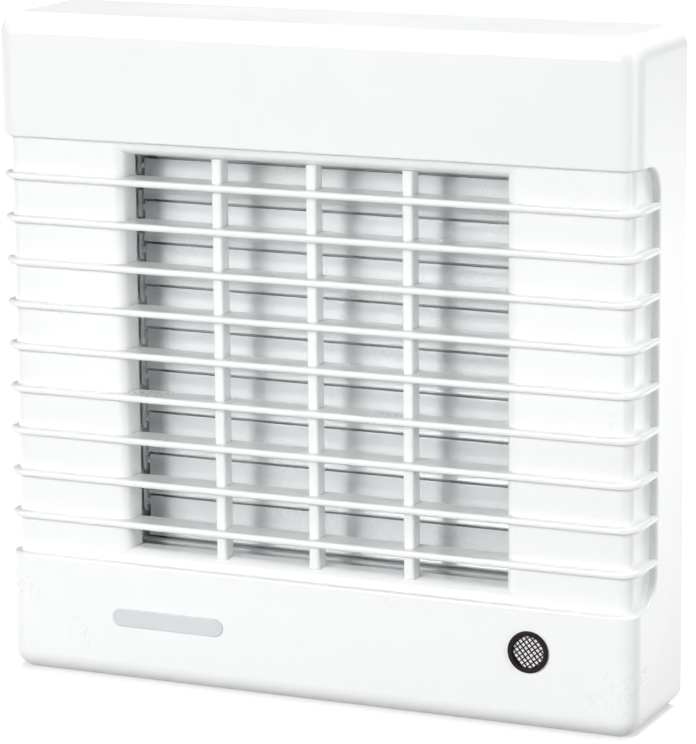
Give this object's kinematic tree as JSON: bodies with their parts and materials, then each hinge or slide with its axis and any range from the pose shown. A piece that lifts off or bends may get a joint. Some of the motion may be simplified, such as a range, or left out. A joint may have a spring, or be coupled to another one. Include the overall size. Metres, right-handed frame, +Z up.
{
  "type": "wall extract fan with louvre shutter",
  "caption": "Square wall extract fan: slatted front cover, motor-driven louvre shutter, axial impeller in a round duct spigot, and a sensor window.",
  "frame": {"origin": "the duct axis where it meets the wall face of the casing, at the centre of the four wall-screw holes", "axes": "+Y along the duct axis into the wall, -Y to the room, +Z up, +X to the right seen from the room"},
  "size_m": [0.1872, 0.1168, 0.186],
  "materials": {
    "cover_white": "glossy white moulded ABS",
    "blade_white": "glossy white moulded plastic",
    "frame_white": "satin white moulded plastic",
    "casing_white": "satin white moulded plastic",
    "linkage_white": "natural white acetal",
    "badge_grey": "plain silver-grey badge",
    "bezel_dark": "black-brown moulded plastic",
    "lens_white": "milky diffuser",
    "rubber_grey": "soft black rubber",
    "screw_steel": "zinc-plated steel",
    "shaft_steel": "ground steel",
    "bearing_steel": "polished bearing steel",
    "lamination_steel": "varnished laminations",
    "winding_copper": "enamelled copper wire",
    "rotor_aluminium": "cast cage rotor",
    "motor_grey": "grey painted shell",
    "impeller_grey": "pale grey moulded plastic",
    "nut_brass": "plain brass",
    "terminal_grey": "pale grey polyamide",
    "actuator_black": "black moulded plastic",
    "board_green": "green laminate",
    "header_white": "cream plastic",
    "capacitor_yellow": "yellow case",
    "relay_black": "black case",
    "trimmer_blue": "blue case",
    "knob_white": "white plastic",
    "detector_metal": "nickel can",
    "lead_grey": "grey insulation"
  },
  "bodies": {
    "unit": {"actuator_body": "actuator_black", "actuator_lead": "lead_grey", "actuator_screws": "screw_steel", "badge": "badge_grey", "bearing_front": "bearing_steel", "bearing_rear": "bearing_steel", "board_headers": "header_white", "board_screws": "screw_steel", "cable_clamp": "terminal_grey", "cable_grommet": "rubber_grey", "capacitor": "capacitor_yellow", "casing": "casing_white", "clamp_screws": "screw_steel", "control_board": "board_green", "cover_screw": "screw_steel", "front_cover": "cover_white", "lid_screws": "screw_steel", "mains_lead": "lead_grey", "motor_bracket": "casing_white", "motor_cap": "motor_grey", "motor_housing": "motor_grey", "motor_lead": "lead_grey", "motor_screws": "screw_steel", "relay": "relay_black", "sensor_bezel": "bezel_dark", "sensor_board": "board_green", "sensor_detector": "detector_metal", "sensor_holder": "actuator_black", "sensor_lead": "lead_grey", "sensor_lens": "lens_white", "shutter_frame": "frame_white", "shutter_screws": "screw_steel", "spigot": "casing_white", "stator_core": "lamination_steel", "stator_windings": "winding_copper", "terminal_block": "terminal_grey", "terminal_lid": "casing_white", "terminal_screws": "nut_brass", "trimmer_bodies": "trimmer_blue"},
    "fan_rotor": {"impeller": "impeller_grey", "impeller_nut": "nut_brass", "motor_shaft": "shaft_steel", "rotor": "rotor_aluminium"},
    "shutter_drive": {"actuator_shaft": "shaft_steel", "actuator_crank": "linkage_white"},
    "tie_bar": {"tie_bar": "linkage_white"},
    "blade_1": {"blade_1": "blade_white"},
    "blade_2": {"blade_2": "blade_white"},
    "blade_3": {"blade_3": "blade_white"},
    "blade_4": {"blade_4": "blade_white"},
    "blade_5": {"blade_5": "blade_white"},
    "blade_6": {"blade_6": "blade_white"},
    "blade_7": {"blade_7": "blade_white"},
    "blade_8": {"blade_8": "blade_white"},
    "blade_9": {"blade_9": "blade_white"},
    "time_knob": {"trimmer_knob_time": "knob_white"},
    "level_knob": {"trimmer_knob_level": "knob_white"}
  },
  "joints": [
    {"name": "fan_spin", "type": "hinge", "parent": "unit", "child": "fan_rotor", "pos_m": [0, 0.0085, 0], "axis": [0, 1, 0], "continuous": true},
    {"name": "shutter_drive_turn", "type": "hinge", "parent": "unit", "child": "shutter_drive", "pos_m": [0.065, -0.0184, -0.0037], "axis": [1, 0, 0], "range_deg": [0, 80]},
    {"name": "tie_bar_carry", "type": "hinge", "parent": "shutter_drive", "child": "tie_bar", "pos_m": [0.06015, -0.01454, -0.0083], "axis": [1, 0, 0], "range_deg": [-80, 0]},
    {"name": "blade_1_turn", "type": "hinge", "parent": "unit", "child": "blade_1", "pos_m": [0, -0.0184, 0.0503], "axis": [1, 0, 0], "range_deg": [0, 80]},
    {"name": "blade_2_turn", "type": "hinge", "parent": "unit", "child": "blade_2", "pos_m": [0, -0.0184, 0.0383], "axis": [1, 0, 0], "range_deg": [0, 80]},
    {"name": "blade_3_turn", "type": "hinge", "parent": "unit", "child": "blade_3", "pos_m": [0, -0.0184, 0.0263], "axis": [1, 0, 0], "range_deg": [0, 80]},
    {"name": "blade_4_turn", "type": "hinge", "parent": "unit", "child": "blade_4", "pos_m": [0, -0.0184, 0.0143], "axis": [1, 0, 0], "range_deg": [0, 80]},
    {"name": "blade_5_turn", "type": "hinge", "parent": "unit", "child": "blade_5", "pos_m": [0, -0.0184, 0.0023], "axis": [1, 0, 0], "range_deg": [0, 80]},
    {"name": "blade_6_turn", "type": "hinge", "parent": "unit", "child": "blade_6", "pos_m": [0, -0.0184, -0.0097], "axis": [1, 0, 0], "range_deg": [0, 80]},
    {"name": "blade_7_turn", "type": "hinge", "parent": "unit", "child": "blade_7", "pos_m": [0, -0.0184, -0.0217], "axis": [1, 0, 0], "range_deg": [0, 80]},
    {"name": "blade_8_turn", "type": "hinge", "parent": "unit", "child": "blade_8", "pos_m": [0, -0.0184, -0.0337], "axis": [1, 0, 0], "range_deg": [0, 80]},
    {"name": "blade_9_turn", "type": "hinge", "parent": "unit", "child": "blade_9", "pos_m": [0, -0.0184, -0.0457], "axis": [1, 0, 0], "range_deg": [0, 80]},
    {"name": "time_knob_turn", "type": "hinge", "parent": "unit", "child": "time_knob", "pos_m": [0.0455, -0.017, -0.0825], "axis": [0, 1, 0], "range_deg": [0, 270]},
    {"name": "level_knob_turn", "type": "hinge", "parent": "unit", "child": "level_knob", "pos_m": [0.057, -0.017, -0.0825], "axis": [0, 1, 0], "range_deg": [0, 270]}
  ],
  "couplings": [
    {"joint": "tie_bar_carry", "follows": "shutter_drive_turn", "ratio": -1},
    {"joint": "blade_1_turn", "follows": "shutter_drive_turn", "ratio": 1},
    {"joint": "blade_2_turn", "follows": "shutter_drive_turn", "ratio": 1},
    {"joint": "blade_3_turn", "follows": "shutter_drive_turn", "ratio": 1},
    {"joint": "blade_4_turn", "follows": "shutter_drive_turn", "ratio": 1},
    {"joint": "blade_5_turn", "follows": "shutter_drive_turn", "ratio": 1},
    {"joint": "blade_6_turn", "follows": "shutter_drive_turn", "ratio": 1},
    {"joint": "blade_7_turn", "follows": "shutter_drive_turn", "ratio": 1},
    {"joint": "blade_8_turn", "follows": "shutter_drive_turn", "ratio": 1},
    {"joint": "blade_9_turn", "follows": "shutter_drive_turn", "ratio": 1}
  ]
}
